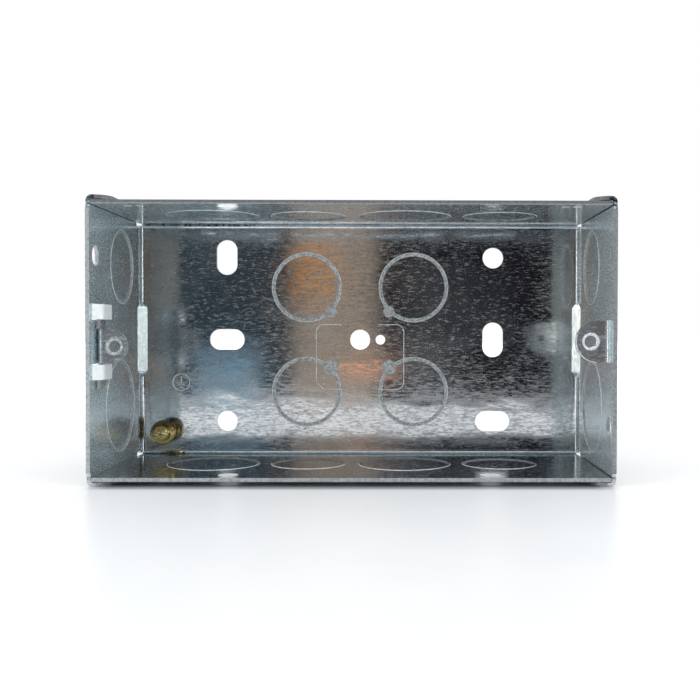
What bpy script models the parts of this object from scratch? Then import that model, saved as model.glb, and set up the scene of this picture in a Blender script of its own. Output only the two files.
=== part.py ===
"""Two-gang metal back box for sockets and switches: one steel sheet, pierced, lanced and folded into
an open box with knock-outs, a fixed screw lug and corner tabs, a second screw lug that slides under
two lanced straps, and a brass earth terminal riveted to the back plate. Metres, +Z up, standing on
its long side as it does on a bench, with the open front towards -Y."""

import math

import bmesh
import bpy
from mathutils import Matrix, Vector

# Folded sheet
BOX_WIDTH = 0.132
BOX_HEIGHT = 0.070
BOX_DEPTH = 0.047
SHEET = 0.001
FOLD_RADIUS = 0.0012
CLEARANCE = 0.0003
SEAM = 0.0003
OVERRUN = 0.003
JOIN = 0.001
LAP_STEP = 0.00002
ARC_STEPS = 5
HOLE_SIDES = 24
KNOCKOUT_SIDES = 36
TURNED_SIDES = 32
SHARP_ANGLE = math.radians(30)

# Corner tabs, folded from the end walls over the outside of the long walls
TAB_REACH = 0.0056
TAB_LENGTH = 0.0405
TAB_SETBACK = 0.0005
TAB_FOLD_RADIUS = 0.0005
TAB_TIP_RADIUS = 0.0042
CORNER_NOTCH = 0.0003

# Screw lugs, whose faces lie the same way behind the rim; their inset from the outside of the end
# walls puts them on the standard 120.6 mm fixing centres
LUG_INSET = 0.0057
LUG_SETBACK = 0.0042
TAPPED_DIAMETER = 0.0030
COLLAR_DIAMETER = 0.0045
COLLAR_HEIGHT = 0.0008
LEAD_DEPTH = 0.0005
TIP_ROUND_SHARE = 0.97

# Fixed lug, a tongue lanced from the right end wall
TONGUE_WIDTH = 0.0106
TONGUE_TIP = 0.0038
TONGUE_BEND_RADIUS = 0.0015
LANCE_GAP = 0.00015

# Sliding lug, a T-shaped plate with a bent ear
EAR_WIDTH = 0.0085
EAR_TIP = 0.0034
EAR_BEND_RADIUS = 0.0007
EAR_RELIEF = 0.0003
ARM_LENGTH = 0.0218
ARM_BREADTH = 0.0041
ARM_INSET = 0.0003

# Straps, lanced from the left end wall and raised over the sliding lug's arms
STRAP_WIDTH = 0.0038
STRAP_SPACE = 0.0114
STRAP_MIDDLE = -0.0003
STRAP_FRONT = 0.0015
STRAP_RAMP = 0.0017
STRAP_TOP = 0.0068
STRAP_SHOULDER = 0.0010
STRAP_BEND_RADIUS = 0.0005

# Knock-outs, discs sheared part way through the sheet and left standing outwards
KNOCKOUT_STEP = 0.0003
KNOCKOUT_SLOPE = 0.0010
KNOCKOUT_ROOT_SHARE = 0.4
SMALL_KNOCKOUT = 0.0204
LARGE_KNOCKOUT = 0.0252
LONG_KNOCKOUT_DEPTH = 0.025
UPPER_KNOCKOUT_DEPTH = 0.0271
LOWER_KNOCKOUT_DEPTH = 0.0255
LONG_WALL_OUTER = 0.0393
LONG_WALL_INNER = 0.0132
UPPER_KNOCKOUT_INSET = 0.0138
LOWER_KNOCKOUT_INSET = 0.0159
BACK_KNOCKOUT = 0.0206
BACK_KNOCKOUT_X = 0.0159
BACK_KNOCKOUT_Z = 0.0156
UPPER_TIE = 0.0034
LOWER_TIE = 0.0044
TIE_HEIGHT = 0.00015

# Holes in the back plate
FIXING_DIAMETER = 0.0062
FIXING_SLOT = 0.0104
FIXING_COLUMN = 0.0396
FIXING_ROW = 0.0244
CENTRE_HOLE = 0.0060
PILOT_HOLE = 0.0029
PILOT_OFFSET = 0.00605

# Side fixing holes near the rim
SIDE_HOLE = 0.0052
SIDE_HOLE_DEPTH = 0.0048
LEFT_HOLE_INSET = 0.0125
RIGHT_HOLE_INSET = 0.0122
TOP_HOLE_X = -0.0317
BOTTOM_HOLE_LEFT = -0.0317
BOTTOM_HOLE_RIGHT = 0.0350

# Flats pressed into the folds of the end walls to stiffen them
PRESS_LENGTH = 0.0225
PRESS_ON_BACK = 0.0017
PRESS_ON_WALL = 0.0043
PRESS_TAPER = 0.0020
PRESS_END_SHARE = 0.25

# Brass earth terminal: a riveted post with a wire hole across it, and its clamp screw
POST_FROM_END = 0.0076
POST_FROM_LONG_WALL = 0.0068
POST_DIAMETER = 0.0070
POST_HEIGHT = 0.0064
POST_CHAMFER = 0.0003
SPIGOT_DIAMETER = 0.0034
RIVET_DIAMETER = 0.0056
RIVET_THICKNESS = 0.0004
WIRE_HOLE = 0.0032
WIRE_HOLE_HEIGHT = 0.0025
SCREW_DIAMETER = 0.0041
SCREW_LENGTH = 0.0040
SCREW_PROUD = 0.0018
SCREW_CHAMFER = 0.0003
SCREW_SLOT_WIDTH = 0.0008
SCREW_SLOT_DEPTH = 0.0010
SCREW_SLOT_TURN = math.radians(-13)

# Worked out from the sizes above. Inside the box, places are counted from the middle of the rim:
# x to the right, y into the box and z up.
HALF_WIDTH = BOX_WIDTH / 2
HALF_HEIGHT = BOX_HEIGHT / 2
INNER_WIDTH = HALF_WIDTH - SHEET
INNER_HEIGHT = HALF_HEIGHT - SHEET
INNER_DEPTH = BOX_DEPTH - SHEET
WALL_MIDDLE = HALF_WIDTH - SHEET / 2
TAB_MIDDLE = HALF_HEIGHT + CLEARANCE + SHEET / 2
BEHIND_BACK = max(CLEARANCE + RIVET_THICKNESS, KNOCKOUT_STEP)
FRONT_Y = -(BOX_DEPTH + BEHIND_BACK) / 2
CENTRE_Z = TAB_MIDDLE + SHEET / 2
LUG_X = HALF_WIDTH - LUG_INSET
POST_X = POST_FROM_END - INNER_WIDTH
POST_Z = POST_FROM_LONG_WALL - INNER_HEIGHT
EAR_REST_Z = STRAP_MIDDLE - STRAP_SPACE / 2 + CLEARANCE + EAR_WIDTH / 2

for old in list(bpy.data.objects):
    bpy.data.objects.remove(old, do_unlink=True)


def make_collection(name):
    collection = bpy.data.collections.new(name)
    bpy.context.scene.collection.children.link(collection)
    return collection


parts = make_collection("metal_back_box")
cutters = make_collection("cutters")
datum = bpy.data.objects.new("middle_of_rim", None)
datum.location = (0, FRONT_Y, CENTRE_Z)
parts.objects.link(datum)


def make_material(name, colour, roughness):
    material = bpy.data.materials.new(name)
    material.use_nodes = True
    shader = material.node_tree.nodes["Principled BSDF"]
    shader.inputs["Base Color"].default_value = (*colour, 1)
    shader.inputs["Metallic"].default_value = 1
    shader.inputs["Roughness"].default_value = roughness
    return material


def add_object(name, bm, collection, parent=datum, location=(0, 0, 0)):
    """An object made from a bmesh and hung from its parent."""
    mesh = bpy.data.meshes.new(name)
    bm.to_mesh(mesh)
    bm.free()
    obj = bpy.data.objects.new(name, mesh)
    collection.objects.link(obj)
    obj.parent = parent
    obj.location = location
    return obj


def hide(tool):
    tool.hide_render = True
    tool.display_type = "WIRE"
    return tool


def add_tool(name, bm, parent=datum):
    """A body that only cuts or joins others, and isn't part of the box."""
    return hide(add_object(name, bm, cutters, parent))


def combine(target, tool, operation):
    step = target.modifiers.new(tool.name, "BOOLEAN")
    step.object = tool
    step.operation = operation
    step.solver = "EXACT"


def thicken(obj, offset):
    """Gives an open surface the sheet's thickness."""
    sheet = obj.modifiers.new("sheet", "SOLIDIFY")
    sheet.thickness = SHEET
    sheet.offset = offset
    sheet.use_even_offset = True


def add_box(bm, one_corner, other_corner):
    one_corner, other_corner = Vector(one_corner), Vector(other_corner)
    size = [abs(length) for length in other_corner - one_corner]
    place = Matrix.Translation((one_corner + other_corner) / 2)
    bmesh.ops.create_cube(bm, size=1, matrix=place @ Matrix.Diagonal((*size, 1)))


def add_round(bm, start, end, start_diameter, end_diameter, sides=HOLE_SIDES, stretch=(0, 0, 0)):
    """A round body between two points; a stretch pulls its halves apart into a slot."""
    start, end, stretch = Vector(start), Vector(end), Vector(stretch)
    axis, middle = end - start, (start + end) / 2
    turn = axis.to_track_quat("Z", "Y").to_matrix().to_4x4() @ Matrix.Rotation(math.pi / sides, 4, "Z")
    made = bmesh.ops.create_cone(
        bm, cap_ends=True, segments=sides, radius1=start_diameter / 2, radius2=end_diameter / 2,
        depth=axis.length, matrix=Matrix.Translation(middle) @ turn,
    )
    for vert in made["verts"]:
        vert.co += math.copysign(1, (vert.co - middle).dot(stretch)) * stretch / 2


def add_sink(bm, face, inwards, wide, narrow, depth, sides=HOLE_SIDES):
    """A shallow cone that sinks into a face; it starts a little above it, on the same slope."""
    inwards = Vector(inwards)
    start = Vector(face) - inwards * depth
    add_round(bm, start, start + inwards * 2 * depth, 2 * wide - narrow, narrow, sides)


def rounded(corners, radius):
    """The path through these corners, with each inner one rounded in ARC_STEPS chords."""
    corners = [Vector(corner) for corner in corners]
    path = [corners[0]]
    for before, corner, after in zip(corners, corners[1:], corners[2:]):
        back, ahead = (before - corner).normalized(), (after - corner).normalized()
        half = back.angle(ahead) / 2
        centre = corner + (back + ahead).normalized() * radius / math.sin(half)
        spoke = corner + back * radius / math.tan(half) - centre
        last = corner + ahead * radius / math.tan(half) - centre
        sweep = math.copysign(math.pi - 2 * half, spoke.cross(last))
        turns = [Matrix.Rotation(sweep * step / ARC_STEPS, 2) for step in range(ARC_STEPS + 1)]
        path += [centre + turn @ spoke for turn in turns]
    return path + [corners[-1]]


def in_plan(point, width):
    """Places a path drawn in plan, along x and y, at a height."""
    return Vector((point[0], point[1], width))


def in_section(point, width):
    """Places a path drawn across the box, along x and z, at a depth."""
    return Vector((point[0], width, point[1]))


def add_strip(name, path, place, low, high, parent=datum, tip_radius=0):
    """Bent sheet, whose middle follows the path and runs from low to high across it."""
    bm = bmesh.new()
    near = [bm.verts.new(place(point, low)) for point in path]
    edges = [bm.edges.new(pair) for pair in zip(near, near[1:])]
    made = bmesh.ops.extrude_edge_only(bm, edges=edges)["geom"]
    far = [item for item in made if isinstance(item, bmesh.types.BMVert)]
    bmesh.ops.translate(bm, verts=far, vec=place(path[0], high) - place(path[0], low))
    if tip_radius:
        tip = [near[-1], min(far, key=lambda vert: (vert.co - place(path[-1], high)).length)]
        bmesh.ops.bevel(
            bm, geom=tip, affect="VERTICES", offset=tip_radius, segments=2 * ARC_STEPS, profile=0.5,
            clamp_overlap=True,
        )
    strip = add_tool(name, bm, parent)
    thicken(strip, 0)
    return strip


def make_tray():
    """The back plate and four walls, one sheet thick, folded up round the back plate."""
    bm = bmesh.new()
    add_box(bm, (-HALF_WIDTH, 0, -HALF_HEIGHT), (HALF_WIDTH, BOX_DEPTH, HALF_HEIGHT))
    front = [face for face in bm.faces if max(vert.co.y for vert in face.verts) < INNER_DEPTH]
    bmesh.ops.delete(bm, geom=front, context="FACES_ONLY")
    back = [edge for edge in bm.edges if min(vert.co.y for vert in edge.verts) > INNER_DEPTH]
    bmesh.ops.bevel(
        bm, geom=back, affect="EDGES", offset=FOLD_RADIUS + SHEET, segments=ARC_STEPS, profile=0.5,
    )
    tray = add_object("box_shell", bm, parts)
    thicken(tray, -1)
    return tray


def cut_corners(tray):
    """Frees the walls at the four corners and notches the blank where three sheets would meet."""
    bm = bmesh.new()
    fold_start = INNER_DEPTH - FOLD_RADIUS
    for side in (-1, 1):
        for rise in (-1, 1):
            far = (side * (HALF_WIDTH + OVERRUN), rise * (HALF_HEIGHT + OVERRUN))
            lowered = rise * (INNER_HEIGHT - JOIN)
            add_box(bm, (side * (INNER_WIDTH - SEAM), -OVERRUN, lowered), (far[0], fold_start, far[1]))
            notched = (side * (INNER_WIDTH - CORNER_NOTCH), rise * (INNER_HEIGHT - CORNER_NOTCH))
            add_box(
                bm, (notched[0], fold_start - JOIN, notched[1]), (far[0], BOX_DEPTH + OVERRUN, far[1]),
            )
    combine(tray, add_tool("corner_cuts", bm), "DIFFERENCE")
    tray.modifiers["corner_cuts"].use_self = True


def add_tabs(tray):
    """Each end wall wraps round its two long edges into tabs on the outside of the long walls."""
    for side, end in ((-1, "left"), (1, "right")):
        for rise, edge in ((-1, "bottom"), (1, "top")):
            corners = (
                (side * WALL_MIDDLE, rise * (INNER_HEIGHT - 2 * JOIN)),
                (side * WALL_MIDDLE, rise * TAB_MIDDLE),
                (side * (HALF_WIDTH - TAB_REACH), rise * TAB_MIDDLE),
            )
            path = rounded(corners, TAB_FOLD_RADIUS + SHEET / 2)
            tab = add_strip(
                f"{end}_{edge}_tab", path, in_section, TAB_SETBACK, TAB_SETBACK + TAB_LENGTH,
                tip_radius=TAB_TIP_RADIUS,
            )
            combine(tray, tab, "UNION")


def add_tapered_bar(name, plan, corner, half_length):
    """A bar along an end fold, whose ends die away into the corner of the fold."""
    bm = bmesh.new()
    flank = half_length - PRESS_TAPER
    face = bm.faces.new([bm.verts.new((x, y, -flank)) for x, y in plan])
    made = bmesh.ops.extrude_face_region(bm, geom=[face])["geom"]
    top = [item for item in made if isinstance(item, bmesh.types.BMVert)]
    bmesh.ops.translate(bm, verts=top, vec=(0, 0, 2 * flank))
    shrink = Matrix.Diagonal((PRESS_END_SHARE, PRESS_END_SHARE, 1, 1))
    to_corner = Matrix.Translation((-corner[0], -corner[1], 0))
    caps = [face for face in bm.faces if len({round(vert.co.z / SHEET) for vert in face.verts}) == 1]
    for cap in bmesh.ops.extrude_discrete_faces(bm, faces=caps)["faces"]:
        rise = math.copysign(PRESS_TAPER, cap.calc_center_median().z)
        bmesh.ops.translate(bm, verts=cap.verts, vec=(0, 0, rise))
        bmesh.ops.transform(bm, matrix=shrink, space=to_corner, verts=cap.verts)
    bmesh.ops.recalc_face_normals(bm, faces=bm.faces)
    return add_tool(name, bm)


def press_folds(tray):
    """Flattens the middle of each end fold: metal added inside, and as much taken off outside."""
    slant = math.hypot(PRESS_ON_BACK, PRESS_ON_WALL)
    outer_x = INNER_WIDTH - PRESS_ON_BACK + SHEET * (slant - PRESS_ON_BACK) / PRESS_ON_WALL
    outer_y = INNER_DEPTH - PRESS_ON_WALL + SHEET * (slant - PRESS_ON_WALL) / PRESS_ON_BACK
    spill_x = OVERRUN * PRESS_ON_BACK / PRESS_ON_WALL
    spill_y = OVERRUN * PRESS_ON_WALL / PRESS_ON_BACK
    lap = SHEET / 2
    fold_middle = (FOLD_RADIUS + lap) * math.sqrt(0.5) - FOLD_RADIUS
    for side, end in ((-1, "left"), (1, "right")):
        inside = [
            (side * (INNER_WIDTH - PRESS_ON_BACK), INNER_DEPTH),
            (side * INNER_WIDTH, INNER_DEPTH - PRESS_ON_WALL),
            (side * (INNER_WIDTH + lap), INNER_DEPTH - PRESS_ON_WALL),
            (side * (INNER_WIDTH + fold_middle), INNER_DEPTH + fold_middle),
            (side * (INNER_WIDTH - PRESS_ON_BACK), INNER_DEPTH + lap),
        ]
        inner_corner = (side * INNER_WIDTH, INNER_DEPTH)
        combine(tray, add_tapered_bar(f"{end}_press", inside, inner_corner, PRESS_LENGTH / 2), "UNION")
        outside = [
            (side * (outer_x - spill_x), BOX_DEPTH + OVERRUN),
            (side * (HALF_WIDTH + OVERRUN), outer_y - spill_y),
            (side * (HALF_WIDTH + OVERRUN), BOX_DEPTH + OVERRUN),
        ]
        outer_corner = (side * HALF_WIDTH, BOX_DEPTH)
        dent = add_tapered_bar(f"{end}_dent", outside, outer_corner, PRESS_LENGTH / 2 - SHEET)
        combine(tray, dent, "DIFFERENCE")


def add_tongue(tray):
    """The fixed lug: a D-shaped tongue lanced from the right end wall and bent inwards."""
    bend = TONGUE_BEND_RADIUS + SHEET / 2
    root = LUG_SETBACK + SHEET / 2 - bend
    flat = WALL_MIDDLE - bend - (LUG_X - TONGUE_TIP)
    blank = bend * math.pi / 2 + flat
    half = TONGUE_WIDTH / 2 + LANCE_GAP
    window = bmesh.new()
    window_end = root + blank + LANCE_GAP
    add_box(window, (INNER_WIDTH - OVERRUN, root, -half), (HALF_WIDTH + OVERRUN, window_end, half))
    far = [
        edge for edge in window.edges
        if all(vert.co.y > root + blank / 2 for vert in edge.verts)
        and abs(edge.verts[0].co.x - edge.verts[1].co.x) > SHEET
    ]
    bmesh.ops.bevel(
        window, geom=far, affect="EDGES", offset=half * TIP_ROUND_SHARE, segments=2 * ARC_STEPS, profile=0.5,
    )
    combine(tray, add_tool("tongue_window", window), "DIFFERENCE")
    face = LUG_SETBACK + SHEET / 2
    wall = WALL_MIDDLE - LAP_STEP
    corners = ((wall, root - JOIN), (wall, face), (LUG_X - TONGUE_TIP, face))
    tongue = add_strip(
        "tongue", rounded(corners, bend), in_plan, -TONGUE_WIDTH / 2, TONGUE_WIDTH / 2,
        tip_radius=TONGUE_WIDTH / 2 * TIP_ROUND_SHARE,
    )
    combine(tray, tongue, "UNION")


def add_straps(tray):
    """Two straps lanced from the left end wall and raised, with the windows that they leave."""
    wall, raised = LAP_STEP - WALL_MIDDLE, -(WALL_MIDDLE - 2 * (SHEET + CLEARANCE))
    top_start = STRAP_FRONT + STRAP_RAMP
    top_end = top_start + STRAP_TOP
    foot = top_end + STRAP_SHOULDER
    corners = (
        (wall, STRAP_FRONT - JOIN),
        (wall, STRAP_FRONT),
        (raised, top_start),
        (raised, top_end),
        (wall, foot),
        (wall, foot + 2 * JOIN),
    )
    path = rounded(corners, STRAP_BEND_RADIUS + SHEET / 2)
    for rise, name in ((-1, "lower_strap"), (1, "upper_strap")):
        inner = STRAP_MIDDLE + rise * STRAP_SPACE / 2
        outer = inner + rise * STRAP_WIDTH
        window = bmesh.new()
        add_box(
            window, (-HALF_WIDTH - OVERRUN, STRAP_FRONT, inner - rise * LANCE_GAP),
            (-INNER_WIDTH + OVERRUN, foot + JOIN, outer + rise * LANCE_GAP),
        )
        combine(tray, add_tool(f"{name}_window", window), "DIFFERENCE")
        strap = add_strip(name, path, in_plan, min(inner, outer), max(inner, outer))
        combine(tray, strap, "UNION")


def knockouts():
    """Each knock-out as the middle of its inner face, the way it stands out, and its diameter."""
    places = []
    for rise in (-1, 1):
        for x, diameter in (
            (-LONG_WALL_OUTER, LARGE_KNOCKOUT), (-LONG_WALL_INNER, SMALL_KNOCKOUT),
            (LONG_WALL_INNER, LARGE_KNOCKOUT), (LONG_WALL_OUTER, SMALL_KNOCKOUT),
        ):
            middle = Vector((x, LONG_KNOCKOUT_DEPTH, rise * INNER_HEIGHT))
            places.append((middle, Vector((0, 0, rise)), diameter))
    upper, lower = INNER_HEIGHT - UPPER_KNOCKOUT_INSET, LOWER_KNOCKOUT_INSET - INNER_HEIGHT
    for side in (-1, 1):
        for z, depth, diameter in (
            (upper, UPPER_KNOCKOUT_DEPTH, SMALL_KNOCKOUT), (lower, LOWER_KNOCKOUT_DEPTH, LARGE_KNOCKOUT),
        ):
            middle = Vector((side * INNER_WIDTH, depth, z))
            places.append((middle, Vector((side, 0, 0)), diameter))
        for rise in (-1, 1):
            middle = Vector((side * BACK_KNOCKOUT_X, INNER_DEPTH, rise * BACK_KNOCKOUT_Z))
            places.append((middle, Vector((0, 1, 0)), BACK_KNOCKOUT))
    return places


def shear_knockouts(tray):
    """Each disc is one sheet thick like the wall, but stands one step further out."""
    raised, sunk = bmesh.new(), bmesh.new()
    root = SHEET * KNOCKOUT_ROOT_SHARE
    flare = 2 * KNOCKOUT_SLOPE * root / KNOCKOUT_STEP
    for middle, outwards, diameter in knockouts():
        narrow = diameter - 2 * KNOCKOUT_SLOPE
        top = middle + outwards * (SHEET + KNOCKOUT_STEP)
        start = middle + outwards * (SHEET - root)
        add_round(raised, start, top, diameter + flare, narrow, KNOCKOUT_SIDES)
        add_sink(sunk, middle, outwards, diameter, narrow, KNOCKOUT_STEP, KNOCKOUT_SIDES)
    combine(tray, add_tool("knockout_discs", raised), "UNION")
    combine(tray, add_tool("knockout_steps", sunk), "DIFFERENCE")


def add_ties(tray):
    """A staked spot on the edge of each back knock-out, towards the middle of the box."""
    spots = bmesh.new()
    reach = BACK_KNOCKOUT / 2 * math.sqrt(0.5)
    start, top = INNER_DEPTH + SHEET * KNOCKOUT_ROOT_SHARE, INNER_DEPTH - TIE_HEIGHT
    for side in (-1, 1):
        for rise, diameter in ((-1, LOWER_TIE), (1, UPPER_TIE)):
            x = side * (BACK_KNOCKOUT_X - reach)
            z = rise * (BACK_KNOCKOUT_Z - reach)
            add_round(spots, (x, start, z), (x, top, z), diameter, diameter)
    combine(tray, add_tool("knockout_ties", spots), "UNION")


def turn(name, profile, sides, collection, place, parent=datum):
    """A turned body, with its own z axis pointing out of the box through its front."""
    bm = bmesh.new()
    points = [bm.verts.new((radius, 0, z)) for radius, z in profile]
    for pair in zip(points, points[1:]):
        bm.edges.new(pair)
    turned = add_object(name, bm, collection, parent, place)
    turned.rotation_euler = (math.pi / 2, 0, 0)
    turning = turned.modifiers.new("turning", "SCREW")
    turning.steps = turning.render_steps = sides
    turning.use_merge_vertices = True
    turning.merge_threshold = CLEARANCE / 10
    return turned


def tap(target, name, place, parent=datum):
    """A tapped hole for a lug screw: a collar drawn out behind the lug, a lead-in and the bore."""
    collar = bmesh.new()
    x, face, z = place
    back = face + SHEET
    start, end = (x, back - SHEET / 2, z), (x, back + COLLAR_HEIGHT, z)
    add_round(collar, start, end, COLLAR_DIAMETER, COLLAR_DIAMETER)
    combine(target, add_tool(f"{name}_collar", collar, parent), "UNION")
    far = -(SHEET + COLLAR_HEIGHT + OVERRUN)
    wide, narrow = COLLAR_DIAMETER - TAPPED_DIAMETER / 2, TAPPED_DIAMETER / 2
    profile = ((0, LEAD_DEPTH), (wide, LEAD_DEPTH), (narrow, -LEAD_DEPTH), (narrow, far), (0, far))
    bore = hide(turn(f"{name}_bore", profile, HOLE_SIDES, cutters, place, parent))
    combine(target, bore, "DIFFERENCE")


def drill_holes(tray):
    """Fixing holes and slots in the back plate, side holes near the rim, and the terminal's hole."""
    holes = bmesh.new()
    front, behind = INNER_DEPTH - OVERRUN, BOX_DEPTH + OVERRUN
    slot = FIXING_SLOT - FIXING_DIAMETER
    tall, wide, plain = (0, 0, slot), (slot, 0, 0), (0, 0, 0)
    for x, column in ((-FIXING_COLUMN, (tall, wide, plain)), (FIXING_COLUMN, (plain, tall, wide))):
        for z, stretch in zip((FIXING_ROW, 0, -FIXING_ROW), column):
            add_round(holes, (x, front, z), (x, behind, z), FIXING_DIAMETER, FIXING_DIAMETER, stretch=stretch)
    terminal_hole = SPIGOT_DIAMETER + 2 * CLEARANCE
    for x, z, diameter in (
        (0, 0, CENTRE_HOLE), (PILOT_OFFSET, 0, PILOT_HOLE), (POST_X, POST_Z, terminal_hole),
    ):
        add_round(holes, (x, front, z), (x, behind, z), diameter, diameter)
    for side, z in ((-1, INNER_HEIGHT - LEFT_HOLE_INSET), (1, RIGHT_HOLE_INSET - INNER_HEIGHT)):
        start = (side * (INNER_WIDTH - OVERRUN), SIDE_HOLE_DEPTH, z)
        end = (side * (HALF_WIDTH + OVERRUN), SIDE_HOLE_DEPTH, z)
        add_round(holes, start, end, SIDE_HOLE, SIDE_HOLE)
    for rise, x in ((1, TOP_HOLE_X), (-1, BOTTOM_HOLE_LEFT), (-1, BOTTOM_HOLE_RIGHT)):
        start = (x, SIDE_HOLE_DEPTH, rise * (INNER_HEIGHT - OVERRUN))
        end = (x, SIDE_HOLE_DEPTH, rise * (HALF_HEIGHT + OVERRUN))
        add_round(holes, start, end, SIDE_HOLE, SIDE_HOLE)
    combine(tray, add_tool("holes", holes), "DIFFERENCE")


def make_sliding_lug():
    """The second lug: arms that run up and down under the straps, and an ear bent out to the screw."""
    spine = -(INNER_WIDTH - CLEARANCE - SHEET / 2) + LUG_X
    bend = EAR_BEND_RADIUS + SHEET / 2
    bend_end = SHEET / 2 + bend
    bm = bmesh.new()
    add_box(
        bm, (spine - SHEET / 2, ARM_INSET, -ARM_LENGTH / 2), (spine + SHEET / 2, ARM_BREADTH, ARM_LENGTH / 2),
    )
    place = (-LUG_X, LUG_SETBACK, EAR_REST_Z)
    lug = add_object("adjustable_lug", bm, parts, location=place)
    notch = bmesh.new()
    half = EAR_WIDTH / 2 + EAR_RELIEF
    add_box(notch, (spine - SHEET, -SHEET, -half), (spine + SHEET, bend_end, half))
    combine(lug, add_tool("ear_notch", notch, lug), "DIFFERENCE")
    corners = ((spine, ARM_BREADTH - ARM_INSET), (spine, SHEET / 2), (EAR_TIP, SHEET / 2))
    ear = add_strip(
        "ear", rounded(corners, bend), in_plan, -EAR_WIDTH / 2, EAR_WIDTH / 2, parent=lug,
        tip_radius=EAR_WIDTH / 2 * TIP_ROUND_SHARE,
    )
    combine(lug, ear, "UNION")
    tap(lug, "sliding_lug", (0, 0, 0), lug)
    return lug


def make_post():
    """Shoulder against the back plate, spigot through it, and a low rivet head behind."""
    radius, spigot, rivet = POST_DIAMETER / 2, SPIGOT_DIAMETER / 2, RIVET_DIAMETER / 2
    bore = SCREW_DIAMETER / 2 + CLEARANCE
    head = -SHEET - CLEARANCE
    profile = (
        (0, WIRE_HOLE_HEIGHT),
        (bore, WIRE_HOLE_HEIGHT),
        (bore, POST_HEIGHT),
        (radius - POST_CHAMFER, POST_HEIGHT),
        (radius, POST_HEIGHT - POST_CHAMFER),
        (radius, CLEARANCE),
        (spigot, CLEARANCE),
        (spigot, head),
        (rivet, head),
        (rivet - RIVET_THICKNESS, head - RIVET_THICKNESS),
        (0, head - RIVET_THICKNESS),
    )
    place = (POST_X, INNER_DEPTH, POST_Z)
    post = turn("earth_terminal_post", profile, TURNED_SIDES, parts, place)
    hole = bmesh.new()
    reach = radius + OVERRUN
    add_round(hole, (-reach, 0, WIRE_HOLE_HEIGHT), (reach, 0, WIRE_HOLE_HEIGHT), WIRE_HOLE, WIRE_HOLE)
    combine(post, add_tool("wire_hole", hole, post), "DIFFERENCE")
    return post


def make_screw():
    """A headless slotted clamp screw that stands a little out of the post."""
    radius = SCREW_DIAMETER / 2
    profile = (
        (0, 0),
        (radius - SCREW_CHAMFER, 0),
        (radius, -SCREW_CHAMFER),
        (radius, SCREW_CHAMFER - SCREW_LENGTH),
        (radius - SCREW_CHAMFER, -SCREW_LENGTH),
        (0, -SCREW_LENGTH),
    )
    place = (POST_X, INNER_DEPTH - POST_HEIGHT - SCREW_PROUD, POST_Z)
    screw = turn("earth_terminal_screw", profile, TURNED_SIDES, parts, place)
    slot = bmesh.new()
    reach = radius + OVERRUN
    half = SCREW_SLOT_WIDTH / 2
    add_box(slot, (-reach, -half, -SCREW_SLOT_DEPTH), (reach, half, OVERRUN))
    bmesh.ops.rotate(slot, verts=slot.verts, matrix=Matrix.Rotation(SCREW_SLOT_TURN, 3, "Z"))
    combine(screw, add_tool("screw_slot", slot, screw), "DIFFERENCE")
    return screw


def finish(obj, material):
    """Settles the piece's steps into one mesh, with round faces smooth and edges sharp."""
    depsgraph = bpy.context.evaluated_depsgraph_get()
    mesh = bpy.data.meshes.new_from_object(obj.evaluated_get(depsgraph))
    obj.modifiers.clear()
    obj.data = mesh
    mesh.materials.clear()
    mesh.materials.append(material)
    mesh.shade_smooth()
    mesh.set_sharp_from_angle(angle=SHARP_ANGLE)


steel = make_material("galvanised_steel", (0.56, 0.58, 0.60), 0.28)
lug_steel = make_material("zinc_plated_lug", (0.60, 0.61, 0.62), 0.25)
brass = make_material("terminal_brass", (0.60, 0.48, 0.22), 0.30)
screw_brass = make_material("screw_brass", (0.66, 0.54, 0.27), 0.25)

shell = make_tray()
cut_corners(shell)
add_tabs(shell)
press_folds(shell)
add_straps(shell)
add_tongue(shell)
shear_knockouts(shell)
add_ties(shell)
tap(shell, "fixed_lug", (LUG_X, LUG_SETBACK, 0))
drill_holes(shell)
finish(shell, steel)
finish(make_sliding_lug(), lug_steel)
finish(make_post(), brass)
finish(make_screw(), screw_brass)
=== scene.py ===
# %% [markdown]
# # A galvanised back box, dressed round its frame
# A back box is the steel box in the wall behind a double socket. It is punched out of one zinc-coated
# sheet, folded up, and fitted with a sliding screw lug and a brass earth terminal. The frame already
# holds those solids at their true size. This lesson gives them what the eye sees first: rolled zinc
# that mirrors the room, broken edges, threads, stamped marks and turned brass.

# %% Load the frame
import math

import bpy
from mathutils import Matrix, Vector


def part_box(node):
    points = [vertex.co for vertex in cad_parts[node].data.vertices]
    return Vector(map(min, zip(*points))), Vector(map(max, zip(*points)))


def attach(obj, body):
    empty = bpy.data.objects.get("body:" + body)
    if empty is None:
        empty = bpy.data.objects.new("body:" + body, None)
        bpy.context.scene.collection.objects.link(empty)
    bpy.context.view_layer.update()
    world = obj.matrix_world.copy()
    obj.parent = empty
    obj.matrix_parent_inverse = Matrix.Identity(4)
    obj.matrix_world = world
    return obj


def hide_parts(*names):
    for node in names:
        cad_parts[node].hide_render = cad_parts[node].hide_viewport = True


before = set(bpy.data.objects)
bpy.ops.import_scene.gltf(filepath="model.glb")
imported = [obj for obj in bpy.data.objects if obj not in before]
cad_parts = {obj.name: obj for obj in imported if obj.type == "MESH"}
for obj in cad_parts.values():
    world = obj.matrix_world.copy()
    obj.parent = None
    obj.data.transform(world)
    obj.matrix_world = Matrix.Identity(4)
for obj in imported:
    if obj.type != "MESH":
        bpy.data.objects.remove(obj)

bpy.ops.object.select_all(action="DESELECT")
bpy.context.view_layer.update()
MM = 0.001

# %% [markdown]
# ## Places that everything follows
# The lugs, the terminal and the back plate are read from the frame's own boxes, so each new detail
# sits on its solid even if a size changes there.

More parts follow.
